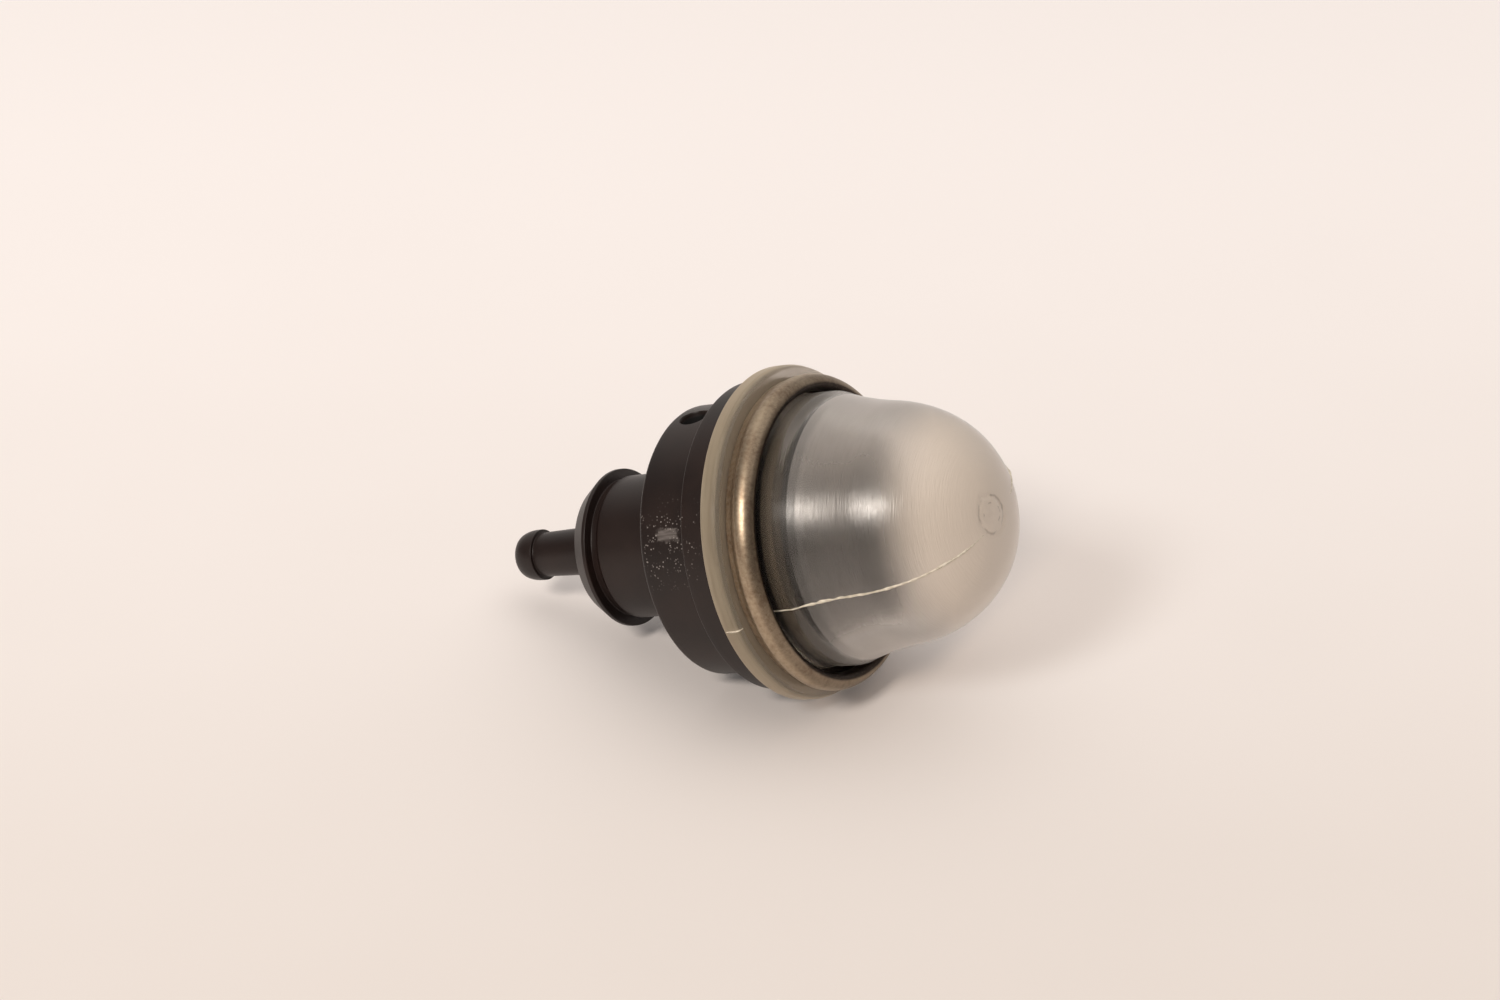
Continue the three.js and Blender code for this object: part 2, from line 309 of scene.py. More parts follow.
@dataclass(frozen=True)
class MouldedBlack:
    """Brown-black moulded plastic with a satin grain and pale dust; a smoother patch and white specks are painted paler
    as glints, and painted shade blackens its hollows inside.
    """

    deep: Colour = srgb(24, 15, 13)
    handled: Colour = srgb(41, 28, 24)
    # Pale colour of real dust, also used for the painted glints.
    dust_and_glint: Colour = srgb(178, 170, 166)
    roughness: float = 0.4
    gloss: float = 0.38
    grain_mm: float = 0.11
    grain_depth_mm: float = 0.012
    # Where the painted glint patch and the side that faces the light lie.
    glint_roll_deg: float = 66.0
    glint_patch_z_mm: float = -4.4

    def shade(self, book: NodeBook) -> bpy.types.NodeSocket:
        """Builds the shader."""
        place = book.place()
        x, y, z = book.parts(place)
        along = z / MM
        roll = math.radians(self.glint_roll_deg)
        across = (x * -math.sin(roll) + y * math.cos(roll)) / MM
        facing = (x * math.cos(roll) + y * math.sin(roll)) / MM
        blotches = book.cloud(place, 5.0, 3.0)
        grain = book.cloud(place, self.grain_mm, 2.0, 0.65)
        # lit_side is the side that faces the light; the white specks kept to it are partly lint and partly painted
        # glints of the grain.
        lit_side = facing.fade(4.0, 8.0) * across.near(0.3, 2.4, 2.8)
        gathered = book.cloud(place, 0.9, 2.0).fade(0.44, 0.6)
        lint_and_glints = book.specks(place, 0.22, 0.32) * gathered * lit_side * along.near(-3.9, 2.9, 1.6)
        stray = book.specks(place, 1.5, 0.05) * book.cloud(place, 3.1, 1.0).fade(0.55, 0.65)
        # A smoother patch whose colour turns paler: a painted glint, streaked and kept to the side that faces the
        # light.
        edge = book.cloud(place, 0.3, 3.0) * 0.7
        rubbed_glint = (across + edge).near(0.1, 0.46, 0.3) * (along + edge).near(self.glint_patch_z_mm + 0.35, 0.9, 0.3)
        glint_streaks = book.cloud(book.stretched(place, (1.0, 1.0, 0.15)), 0.2, 2.0).fade(0.3, 0.7)
        rubbed_glint = rubbed_glint * facing.fade(4.0, 8.0) * (glint_streaks * 0.7 + 0.3)
        colour = book.tint(blotches.fade(0.2, 0.9), self.deep, self.handled)
        colour = book.tint(rubbed_glint * 0.34, colour, self.dust_and_glint)
        colour = book.tint((lint_and_glints + stray).least(1.0) * 0.7, colour, self.dust_and_glint)
        # Painted shade: inside the body's hollows and its port, and on the plate's rim inside the bulb, the colour
        # turns almost black and matt.
        outer = ((x * x + y * y) ** 0.5 / MM).fade(9.5, 9.8)
        within = (1 - outer) * (along.near(-4.6, 2.1, 0.3) + along.fade(0.3, 0.6))
        colour = book.tint(within, colour, (0.001, 0.001, 0.001, 1.0))
        return book.surface({
            "Base Color": colour,
            "Roughness": self.roughness + (blotches - 0.5) * 0.08 - rubbed_glint * 0.1 + lint_and_glints * 0.2 + within * 0.4,
            "Normal": book.bump(grain + lint_and_glints * 0.8, self.grain_depth_mm, 0.5),
            "Specular IOR Level": self.gloss,
            "IOR": 1.5,
        })


@dataclass(frozen=True)
class ValveRubber:
    """Matt black rubber."""

    deep: Colour = srgb(24, 22, 21)
    bloom: Colour = srgb(52, 49, 47)
    roughness: float = 0.7

    def shade(self, book: NodeBook) -> bpy.types.NodeSocket:
        """Builds the shader."""
        place = book.place()
        bloom = book.cloud(place, 1.4, 3.0)
        return book.surface({
            "Base Color": book.tint(bloom.fade(0.4, 0.75), self.deep, self.bloom),
            "Roughness": self.roughness + (bloom - 0.5) * 0.2,
            "Normal": book.bump(book.cloud(place, 0.15, 2.0), 0.01, 0.4),
        })


@dataclass(frozen=True)
class CloudyClear:
    """Clear moulded plastic: olive and cloudy in the thick flange, hazy towards the dome's tip."""

    body_tint: Colour = (0.975, 0.962, 0.945, 1.0)
    mirror_tint: Colour = (0.08, 0.08, 0.08, 1.0)
    cool_haze: Colour = srgb(208, 202, 197)
    warm_haze: Colour = srgb(250, 238, 224)
    pale_olive: Colour = srgb(226, 208, 180)
    scribble: Colour = srgb(120, 108, 96)
    olive: Colour = srgb(180, 167, 143)
    brown_olive: Colour = srgb(124, 108, 86)
    roughness: float = 0.16
    sheen_roughness: float = 0.29
    sheen_ior: float = 1.6
    glow: float = 0.35
    haze_start_mm: float = 5.66
    skirt_top_mm: float = 4.7
    # Strength of the painted caustic band on the skirt.
    caustic_band_haze: float = 0.22
    base_haze: float = 0.055
    tip_haze: float = 0.7
    edge_haze: float = 0.68
    top_haze: float = 0.16
    rim_haze: float = 0.62
    face_haze: float = 0.22
    gate_r_mm: float = 1.0
    gate_z_mm: float = 17.28
    gate_roll_deg: float = 64.0
    gate_ring_mm: float = 1.4
    shadow_tint: Colour = (0.82, 0.79, 0.76, 1.0)

    def gate_lines(self, book: NodeBook, place: Value) -> Num:
        """Marks the gate's ring and the scribbles in it.

        Args:
            book: The material's nodes.
            place: The place in metres along the part's own axes.

        Returns:
            1 on a line and 0 off it.
        """
        centre = radial(self.gate_r_mm, self.gate_z_mm, self.gate_roll_deg) * MM
        settings = {"operation": "DISTANCE"}
        away = Num(book, book.node("ShaderNodeVectorMath", settings, {0: place, 1: centre}).outputs["Value"]) / MM
        bent = away + (book.cloud(place, 1.6, 2.0) - 0.5) * 0.6
        broken = book.cloud(place, 1.1, 2.0).fade(0.42, 0.58)
        ring = bent.near(self.gate_ring_mm, 0.05, 0.16) * broken
        scar = bent.near(self.gate_ring_mm - 0.45, 0.04, 0.12) * book.cloud(place, 0.6, 1.0).fade(0.52, 0.6)
        return (ring + scar).least(1.0) * (1 - away.fade(1.8, 2.0))

    def shade(self, book: NodeBook) -> bpy.types.NodeSocket:
        """Builds the shader."""
        place = book.place()
        x, y, z = book.parts(place)
        along = z / MM
        blotches = book.cloud(place, 3.2, 3.0)
        streaks = book.cloud(book.stretched(place, (1.0, 1.0, 7.0)), 2.0, 3.0, 0.6)
        in_flange = 1 - along.fade(1.45, 2.1)
        above_skirt = along.fade(self.haze_start_mm - 0.04, self.haze_start_mm + 0.04)
        # A paler band of haze low on the skirt is a painted caustic; the rest of the skirt stays almost clear.
        caustic_band = along.near(self.skirt_top_mm - 0.6, 0.5, 0.12)
        rise = along.fade(11.0, 15.4)
        turned_away = book.grazing() ** 1.4
        haze = self.base_haze + rise * (self.tip_haze - self.base_haze) + turned_away * self.edge_haze
        haze = haze + ((blotches - 0.5) * 0.1 + (streaks - 0.5) * 0.1) * (1 - rise) * (1 - turned_away)
        haze = haze + (x / MM).fade(3.5, 8.0) * (1 - rise) * self.top_haze
        gate = self.gate_lines(book, place)
        haze = (caustic_band * self.caustic_band_haze + 0.02) * (1 - above_skirt) + haze * above_skirt
        flange_haze = self.rim_haze - along.fade(1.0, 1.35) * (self.rim_haze - self.face_haze) + turned_away * 0.4
        haze = (haze * (1 - in_flange) + flange_haze * in_flange).least(0.85)
        wear = book.cloud(place, 0.2, 2.0)
        rings = book.cloud(book.stretched(place, (0.25, 0.25, 4.0)), 0.35, 2.0, 0.6)
        normal = book.bump(wear * 0.02 + rings, 0.022, 1.0)
        clear = book.surface({
            "Base Color": self.body_tint,
            "Roughness": self.roughness + (blotches - 0.5) * 0.04,
            "Normal": normal,
            "IOR": 1.46,
            "Transmission Weight": 1.0,
            "Specular Tint": self.mirror_tint,
        })
        colour = book.tint(above_skirt, self.brown_olive, book.tint(rise, self.cool_haze, self.warm_haze))
        layer = book.cloud(book.stretched(place, (0.2, 0.2, 3.0)), 0.9, 2.0).fade(0.35, 0.65)
        olive = book.tint(layer * 0.4, self.olive, self.brown_olive)
        colour = book.tint(in_flange, colour, book.tint(turned_away, olive, self.pale_olive))
        cloudy = book.surface({
            "Base Color": book.tint(gate * 0.7, colour, self.scribble),
            "Roughness": 0.6,
            "Normal": normal,
            "Specular IOR Level": 0.1,
        })
        backlit = book.node("ShaderNodeBsdfTranslucent", {}, {"Color": self.warm_haze}).outputs[0]
        cloudy = book.blend(self.glow, cloudy, backlit)
        dulled = (1 - above_skirt) * 0.3
        gloss = {"Roughness": self.sheen_roughness + (blotches - 0.5) * 0.03 + dulled, "Normal": normal}
        sheen = book.node("ShaderNodeBsdfGlossy", {}, gloss).outputs[0]
        fresnel = Num(book, book.node("ShaderNodeFresnel", {}, {"IOR": self.sheen_ior}).outputs[0])
        mirrored = fresnel * (above_skirt * 0.7 + 0.3)
        body = book.blend(mirrored, book.blend(haze, clear, cloudy), sheen)
        ray = book.node("ShaderNodeLightPath", {}, {})
        cast = Num(book, ray.outputs["Is Shadow Ray"]) + Num(book, ray.outputs["Is Diffuse Ray"])
        see_through = book.node("ShaderNodeBsdfTransparent", {}, {0: self.shadow_tint}).outputs[0]
        return book.blend(cast.least(1.0), body, see_through)


@dataclass(frozen=True)
class FlashWhite:
    """The thin whitish flash that the mould left."""

    colour: Colour = srgb(232, 224, 208)
    roughness: float = 0.4

    def shade(self, book: NodeBook) -> bpy.types.NodeSocket:
        """Builds the shader."""
        worn = book.cloud(book.place(), 0.3, 2.0)
        return book.surface({
            "Base Color": book.tint(worn.fade(0.3, 0.7), srgb(196, 186, 168), self.colour),
            "Roughness": self.roughness + (worn - 0.5) * 0.2,
            "IOR": 1.46,
        })


@dataclass(frozen=True)
class AgedNickel:
    """Rolled ring metal, satin and gone brownish."""

    bright: Colour = srgb(183, 166, 143)
    brown: Colour = srgb(138, 117, 97)
    # Colour of the painted shade and grime on the bead's inner and front side.
    grime_and_shade: Colour = srgb(34, 23, 17)
    roughness: float = 0.42
    middle_mm: tuple[float, float] = (-0.067, 0.251)

    def shade(self, book: NodeBook) -> bpy.types.NodeSocket:
        """Builds the shader."""
        place = book.place()
        x, y, z = book.parts(place)
        aside = x / MM - self.middle_mm[0]
        ahead = y / MM - self.middle_mm[1]
        across = (aside * aside + ahead * ahead) ** 0.5
        patina = book.cloud(place, 0.28, 3.0, 0.6) * 0.5 + book.cloud(place, 2.6, 2.0) * 0.5
        grain = book.cloud(place, 0.08, 2.0, 0.7)
        # Painted shade and dark reflection, with some grime: the bead's inner half and its front, which face the gap
        # and the skirt, turn dark.
        shade_and_dirt = (1 - across.fade(10.62, 11.02) + (z / MM).fade(3.05, 3.5) * 0.42).least(1.0)
        colour = book.tint(patina.fade(0.36, 0.74), self.bright, self.brown)
        colour = book.tint((shade_and_dirt + (grain - 0.5) * shade_and_dirt).least(1.0), colour, self.grime_and_shade)
        return book.surface({
            "Base Color": colour,
            "Metallic": 1.0,
            "Roughness": self.roughness + (patina - 0.5) * 0.14 + (grain - 0.5) * 0.04,
            "Normal": book.bump(grain, 0.005, 0.5),
        })


@dataclass(frozen=True)
class TablePaper:
    """Smooth pale paper, with painted shade that darkens it towards the near right, and a faint painted glow that lifts
    its shadows.
    """

    light: Colour = srgb(253, 248, 247)
    # Colour of the painted shade towards the near right.
    falloff_shade: Colour = srgb(224, 216, 210)
    # Strength of the paper's painted glow.
    painted_glow: float = 0.075
    slope: tuple[float, float] = (0.5, -0.85)

    def shade(self, book: NodeBook) -> bpy.types.NodeSocket:
        """Builds the shader."""
        place = book.node("ShaderNodeTexCoord", {}, {}).outputs["Object"]
        x, y, _ = book.parts(place)
        # Painted shade: the paper's colour darkens towards the near right, as the light falls off.
        run = x * self.slope[0] + y * self.slope[1]
        fibre = book.cloud(place, 0.6, 3.0, 0.6)
        broad = book.cloud(place, 30.0, 2.0)
        share = (run + (broad - 0.5) * 0.02).fade(-0.11, 0.11)
        colour = book.tint(share, self.light, self.falloff_shade)
        return book.surface({
            "Base Color": colour,
            # A painted glow: the paper emits a little of its own colour, which lifts its shadows.
            "Emission Color": colour,
            "Emission Strength": self.painted_glow,
            "Roughness": 0.72 + (fibre - 0.5) * 0.1,
            "Normal": book.bump(fibre, 0.02, 0.2),
        })


@dataclass(frozen=True)
class Corner:
    """A corner of a turned outline: radius, place along the axis, and its rounding, in millimetres."""

    r: float
    z: float
    fillet: float = 0.0


def arc(centre: tuple[float, float], radii: tuple[float, float], turn: tuple[float, float],
        steps: int) -> list[Corner]:
    """Points on an elliptic arc.

    Args:
        centre: Radius and place of its centre.
        radii: Its radii across and along the axis.
        turn: The angles, in degrees, at its start and its end.
        steps: How many pieces it has.

    Returns:
        The points as corners without rounding.
    """
    points = []
    for step in range(steps + 1):
        angle = math.radians(turn[0] + (turn[1] - turn[0]) * step / steps)
        points.append(Corner(centre[0] + radii[0] * math.cos(angle), centre[1] + radii[1] * math.sin(angle)))
    return points


def filleted(corners: Sequence[Corner], steps: int = 5) -> Outline:
    """Rounds the corners of a closed outline.

    Args:
        corners: The corners in order.
        steps: How many pieces each rounding has.

    Returns:
        The outline's points.
    """
    points: Outline = []
    for place, corner in enumerate(corners):
        here = Vector((corner.r, corner.z))
        if corner.fillet <= 0:
            points.append((here.x, here.y))
            continue
        before = corners[place - 1]
        after = corners[(place + 1) % len(corners)]
        back = Vector((before.r, before.z)) - here
        ahead = Vector((after.r, after.z)) - here
        half = back.angle(ahead) / 2
        reach = min(corner.fillet / math.tan(half), 0.48 * back.length, 0.48 * ahead.length)
        radius = reach * math.tan(half)
        middle = here + (back.normalized() + ahead.normalized()).normalized() * (radius / math.sin(half))
        start = here + back.normalized() * reach - middle
        end = here + ahead.normalized() * reach - middle
        whole = start.angle(end)
        for step in range(steps + 1):
            share = step / steps
            spoke = (start * math.sin((1 - share) * whole) + end * math.sin(share * whole)) / math.sin(whole)
            points.append((middle.x + spoke.x, middle.y + spoke.y))
    return points


def spaced(outline: Outline, step_mm: float) -> Outline:
    """Splits the long runs of a closed outline.

    Args:
        outline: Its points.
        step_mm: The longest run that may stay.

    Returns:
        The outline with more points.
    """
    points: Outline = []
    for here, after in zip(outline, outline[1:] + outline[:1]):
        points.append(here)
        if here[0] == 0 and after[0] == 0:
            continue
        pieces = math.ceil(math.dist(here, after) / step_mm)
        for piece in range(1, pieces):
            share = piece / pieces
            points.append((here[0] + (after[0] - here[0]) * share, here[1] + (after[1] - here[1]) * share))
    return points


def new_object(name: str, vertices: Sequence[Sequence[float]], faces: Sequence[Sequence[int]]) -> bpy.types.Object:
    """Makes a mesh object in the scene.

    Args:
        name: Its name.
        vertices: Its points, in metres.
        faces: Its faces.

    Returns:
        The object.
    """
    mesh = bpy.data.meshes.new(name)
    mesh.from_pydata(vertices, [], faces)
    piece = bpy.data.objects.new(name, mesh)
    bpy.context.scene.collection.objects.link(piece)
    return piece


def turned(name: str, outline: Outline, segments: int) -> bpy.types.Object:
    """Turns a closed outline about the axis.

    Args:
        name: The object's name.
        outline: Its points, in millimetres; a radius of 0 is a point on the axis.
        segments: How many steps a full turn has.

    Returns:
        The turned object, in its own axes.
    """
    vertices: list[tuple[float, float, float]] = []
    rows: list[list[int]] = []
    for r, z in outline:
        first = len(vertices)
        steps = 1 if r == 0 else segments
        for step in range(steps):
            angle = 2 * math.pi * step / segments
            vertices.append((r * math.cos(angle) * MM, r * math.sin(angle) * MM, z * MM))
        rows.append(list(range(first, first + steps)))
    faces: list[tuple[int, ...]] = []
    for row, after in zip(rows, rows[1:] + rows[:1]):
        if len(row) == 1 and len(after) == 1:
            continue
        for step in range(segments):
            following = (step + 1) % segments
            if len(row) == 1:
                faces.append((row[0], after[following], after[step]))
            elif len(after) == 1:
                faces.append((row[step], row[following], after[0]))
            else:
                faces.append((row[step], row[following], after[following], after[step]))
    return new_object(name, vertices, faces)


def cut(piece: bpy.types.Object, cutter: bpy.types.Object) -> None:
    """Cuts one object out of another and removes the cutter."""
    modifier = piece.modifiers.new("cut", "BOOLEAN")
    modifier.operation = "DIFFERENCE"
    modifier.solver = "EXACT"
    modifier.object = cutter
    ready = piece.evaluated_get(bpy.context.evaluated_depsgraph_get())
    mesh = bpy.data.meshes.new_from_object(ready)
    piece.modifiers.clear()
    piece.data = mesh
    bpy.data.objects.remove(cutter)


def soften(piece: bpy.types.Object, crease_deg: float = 32.0) -> None:
    """Turns the faces outward and shades them smooth up to the creases.

    Args:
        piece: The object.
        crease_deg: Edges that turn more than this stay sharp.
    """
    shape = bmesh.new()
    shape.from_mesh(piece.data)
    bmesh.ops.recalc_face_normals(shape, faces=shape.faces)
    for face in shape.faces:
        face.smooth = True
    for edge in shape.edges:
        edge.smooth = len(edge.link_faces) == 2 and edge.calc_face_angle() < math.radians(crease_deg)
    shape.to_mesh(piece.data)
    shape.free()


def reshape(piece: bpy.types.Object, move: Callable[[Vector], Vector]) -> None:
    """Moves each point of a mesh.

    Args:
        piece: The object.
        move: Gives a point's new place from its old one, both in millimetres.
    """
    for vertex in piece.data.vertices:
        vertex.co = move(vertex.co / MM) * MM


@dataclass(frozen=True)
class PartAxis:
    """Where the part's axis lies. Local Z runs to the dome's tip and local X is the top, at roll 0."""

    seat_mm: tuple[float, float, float] = (3.1059, 0.0, 11.5625)
    tilt_deg: float = 18.932

    def matrix(self) -> Matrix:
        """Gives the matrix from the part's own axes to the frame, in metres."""
        tilt = math.radians(self.tilt_deg)
        up = Vector((-math.sin(tilt), 0.0, math.cos(tilt)))
        side = Vector((0.0, -1.0, 0.0))
        along = Vector((math.cos(tilt), 0.0, math.sin(tilt)))
        turn = Matrix((up, side, along)).transposed().to_4x4()
        return Matrix.Translation(Vector(self.seat_mm) * MM) @ turn


def radial(r: float, z: float, roll_deg: float) -> Vector:
    """Gives the point at a radius, a place along the axis and a roll, in millimetres."""
    roll = math.radians(roll_deg)
    return Vector((r * math.cos(roll), r * math.sin(roll), z))


def settle(piece: bpy.types.Object, material: bpy.types.Material, slot: Slot, *nodes: str) -> None:
    """Dresses a piece, puts it on the part's axis and fixes it to the body.

    Args:
        piece: The object.
        material: Its finish.
        slot: The record's material slot; not used.
        *nodes: The solids that it stands for.
    """
    piece.data.materials.clear()
    piece.data.materials.append(material)
    piece.data.transform(PartAxis().matrix())
    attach(piece, "root")
    if nodes:
        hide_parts(*nodes)
    LOG.info("%s: %d faces", piece.name, len(piece.data.polygons))


@dataclass
class PumpBody:
    """The black moulding with the shoulder stage, neck, snap lip and hose barb, in millimetres."""

    front_z: float = -2.36
    body_r: float = 9.97
    shoulder_z: float = -6.9
    neck_r: float = 5.33
    lip_r: float = 5.9
    lip_front_z: float = -14.58
    lip_back_z: float = -16.22
    lip_back_r: float = 4.91
    relief_r: float = 5.1
    tube_r: float = 1.67
    root_r: float = 1.87
    head_r: float = 1.92
    tip_r: float = 1.2
    head_z: float = -22.43
    tip_z: float = -24.3
    bore_r: float = 0.9
    port_r: float = 1.1
    port_z: float = -5.0
    port_roll_deg: float = 2.8
    segments: int = 192

    def corners(self) -> list[Corner]:
        """Lists the outline from the barb's tip round the outside and back through the bore."""
        nose_z = self.head_z - 0.35
        nose = arc((self.tip_r, nose_z), (self.head_r - self.tip_r, nose_z - self.tip_z), (-90, 0), 10)
        return [
            Corner(self.bore_r, self.tip_z, 0.08),
            *nose,
            Corner(self.head_r, self.head_z, 0.04),
            Corner(self.tube_r, self.head_z, 0.06),
            Corner(self.root_r, self.lip_back_z, 0.4),
            Corner(self.lip_back_r, self.lip_back_z, 0.12),
            Corner(self.lip_r, self.lip_front_z - 0.3, 0.08),
            Corner(self.lip_r, self.lip_front_z, 0.07),
            Corner(self.relief_r, self.lip_front_z, 0.06),
            Corner(self.relief_r, self.lip_front_z + 0.5, 0.12),
            Corner(self.neck_r, self.lip_front_z + 0.73, 0.12),
            Corner(self.neck_r, self.shoulder_z, 0.3),
            Corner(self.body_r, self.shoulder_z, 0.3),
            Corner(self.body_r, self.front_z, 0.07),
            Corner(7.6, self.front_z),
            Corner(7.6, -6.1, 0.2),
            Corner(3.6, -6.1, 0.2),
            Corner(3.6, self.front_z),
            Corner(2.5, self.front_z),
            Corner(2.5, -6.23),
            Corner(self.bore_r, -7.83),
        ]

    def port_cutter(self) -> bpy.types.Object:
        """Makes the cutter of the side port, a little wider at the mouth."""
        mouth = self.body_r
        cutter = turned("port_cutter", [
            (0.0, 5.6),
            (self.port_r, 5.6),
            (self.port_r, mouth - 0.16),
            (self.port_r + 0.05, mouth - 0.07),
            (self.port_r + 0.5, mouth + 0.9),
            (0.0, mouth + 0.9),
        ], 64)
        roll = Matrix.Rotation(math.radians(self.port_roll_deg), 4, "Z")
        cutter.matrix_world = Matrix.Translation((0, 0, self.port_z * MM)) @ roll @ Matrix.Rotation(math.pi / 2, 4, "Y")
        return cutter

    def build(self) -> None:
        """Makes and dresses the moulding."""
        outline = spaced(filleted(self.corners()), 0.35)
        piece = turned("pump_body_moulding", outline, self.segments)
        soften(piece)
        cutter = self.port_cutter()
        soften(cutter)
        cut(piece, cutter)
        soften(piece)
        settle(piece, new_material("moulded_black", MouldedBlack().shade), Slot.BLACK_PLASTIC, "pump_body")


@dataclass
class ValvePlate:
    """The black disc whose rim stands up inside the bulb's skirt, in millimetres."""

    plate_r: float = 11.35
    front_z: float = -0.03
    back_z: float = -2.33
    rim_r: float = 8.6
    rim_wall: float = 1.3
    rim_top: float = 6.0
    spigot_r: float = 7.3
    stem_hole_r: float = 1.56
    inlet_circle_r: float = 4.65
    inlet_r: float = 0.75
    inlets: int = 6
    segments: int = 192

    def corners(self) -> list[Corner]:
        """Lists the outline from the stem's hole round the back, the edge and the rim."""
        return [
            Corner(self.stem_hole_r, self.back_z),
            Corner(self.spigot_r - 0.8, self.back_z),
            Corner(self.spigot_r - 0.8, self.back_z - 0.8),
            Corner(self.spigot_r, self.back_z - 0.8, 0.1),
            Corner(self.spigot_r, self.back_z),
            Corner(self.plate_r, self.back_z, 0.16),
            Corner(self.plate_r, self.front_z, 0.12),
            Corner(self.rim_r, self.front_z, 0.1),
            Corner(self.rim_r, self.rim_top - 1.3, 0.5),
            Corner(self.rim_r - 0.5, self.rim_top, 0.18),
            Corner(self.rim_r - self.rim_wall, self.rim_top, 0.3),
            Corner(self.rim_r - self.rim_wall, self.front_z, 0.4),
            Corner(self.stem_hole_r, self.front_z),
        ]

    def build(self) -> None:
        """Makes and dresses the disc."""
        piece = turned("valve_plate_moulding", spaced(filleted(self.corners()), 0.5), self.segments)
        soften(piece)
        for number in range(self.inlets):
            pin = turned("inlet_cutter", [
                (0.0, self.back_z - 1),
                (self.inlet_r, self.back_z - 1),
                (self.inlet_r, self.front_z + 1),
                (0.0, self.front_z + 1),
            ], 32)
            soften(pin)
            pin.matrix_world = Matrix.Translation(
                radial(self.inlet_circle_r, 0.0, 360 * number / self.inlets) * MM)
            cut(piece, pin)
        soften(piece)
        # The plate's finish moves the painted glint patch off its surface.
        finish = MouldedBlack(glint_patch_z_mm=40.0)
        settle(piece, new_material("moulded_black_plate", finish.shade), Slot.BLACK_PLASTIC, "valve_plate")


@dataclass
class CheckValve:
    """The rubber umbrella, its stem and the duckbill behind it, in millimetres."""

    umbrella_r: float = 6.0
    edge_t: float = 0.45
    crown_t: float = 1.3
    seat_z: float = 0.0
    stem_r: float = 1.5
    bead_r: float = 2.1
    bead_z: float = -2.36
    bead_t: float = 0.9
    bill_end_z: float = -5.5
    funnel_r: float = 0.95
    segments: int = 128

    def build(self) -> None:
        """Makes and dresses the valve."""
        crown_z = self.seat_z + self.crown_t
        piece = turned("check_valve_moulding", spaced(filleted([
            Corner(0.0, self.bill_end_z),
            Corner(0.4, self.bill_end_z, 0.1),
            Corner(self.stem_r, self.bead_z - self.bead_t, 0.2),
            Corner(self.bead_r, self.bead_z - self.bead_t * 0.7, 0.2),
            Corner(self.bead_r, self.bead_z, 0.1),
            Corner(self.stem_r, self.bead_z, 0.1),
            Corner(self.stem_r, self.seat_z, 0.1),
            Corner(self.umbrella_r, self.seat_z, 0.1),
            Corner(self.umbrella_r, self.seat_z + self.edge_t, 0.16),
            Corner(3.4, crown_z - 0.1, 1.5),
            Corner(self.stem_r, crown_z, 0.3),
            Corner(self.funnel_r, crown_z, 0.1),
            Corner(0.5, self.bead_z - self.bead_t - 0.9, 0.1),
            Corner(0.0, self.bead_z - self.bead_t - 0.9),
        ]), 0.3), self.segments)
        soften(piece)
        settle(piece, new_material("valve_rubber", ValveRubber().shade), Slot.BLACK_RUBBER, "check_valve")


